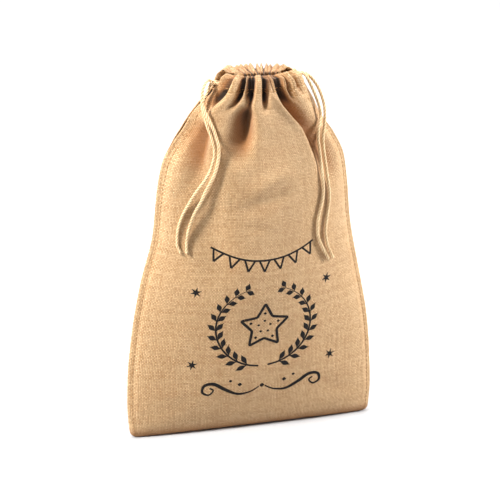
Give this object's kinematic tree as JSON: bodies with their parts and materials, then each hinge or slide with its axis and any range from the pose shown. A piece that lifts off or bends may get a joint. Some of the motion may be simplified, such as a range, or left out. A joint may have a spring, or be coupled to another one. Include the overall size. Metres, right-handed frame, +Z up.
{
  "type": "drawstring treat bag",
  "caption": "Small jute drawstring bag for treats, filled out and standing on its flat bottom, its gathered mouth drawn shut by cotton cords whose free ends hang down the front.",
  "frame": {"origin": "on the flat bottom of the bag, midway between its side seams, in the plane of the surface that the bag stands on", "axes": "+X towards the right side seam seen from the front, -Y out of the front panel, +Z up"},
  "size_m": [0.243, 0.0842, 0.3506],
  "materials": {
    "jute": "plain woven jute, matt",
    "cord": "twisted cotton cord, soft sheen",
    "print": "flat black screen print"
  },
  "bodies": {
    "root": {"bag_cloth": "jute", "cord_left_loop": "cord", "cord_left_tail_front": "cord", "cord_left_tail_back": "cord", "cord_right_loop": "cord", "cord_right_tail_front": "cord", "cord_right_tail_back": "cord"}
  },
  "joints": []
}
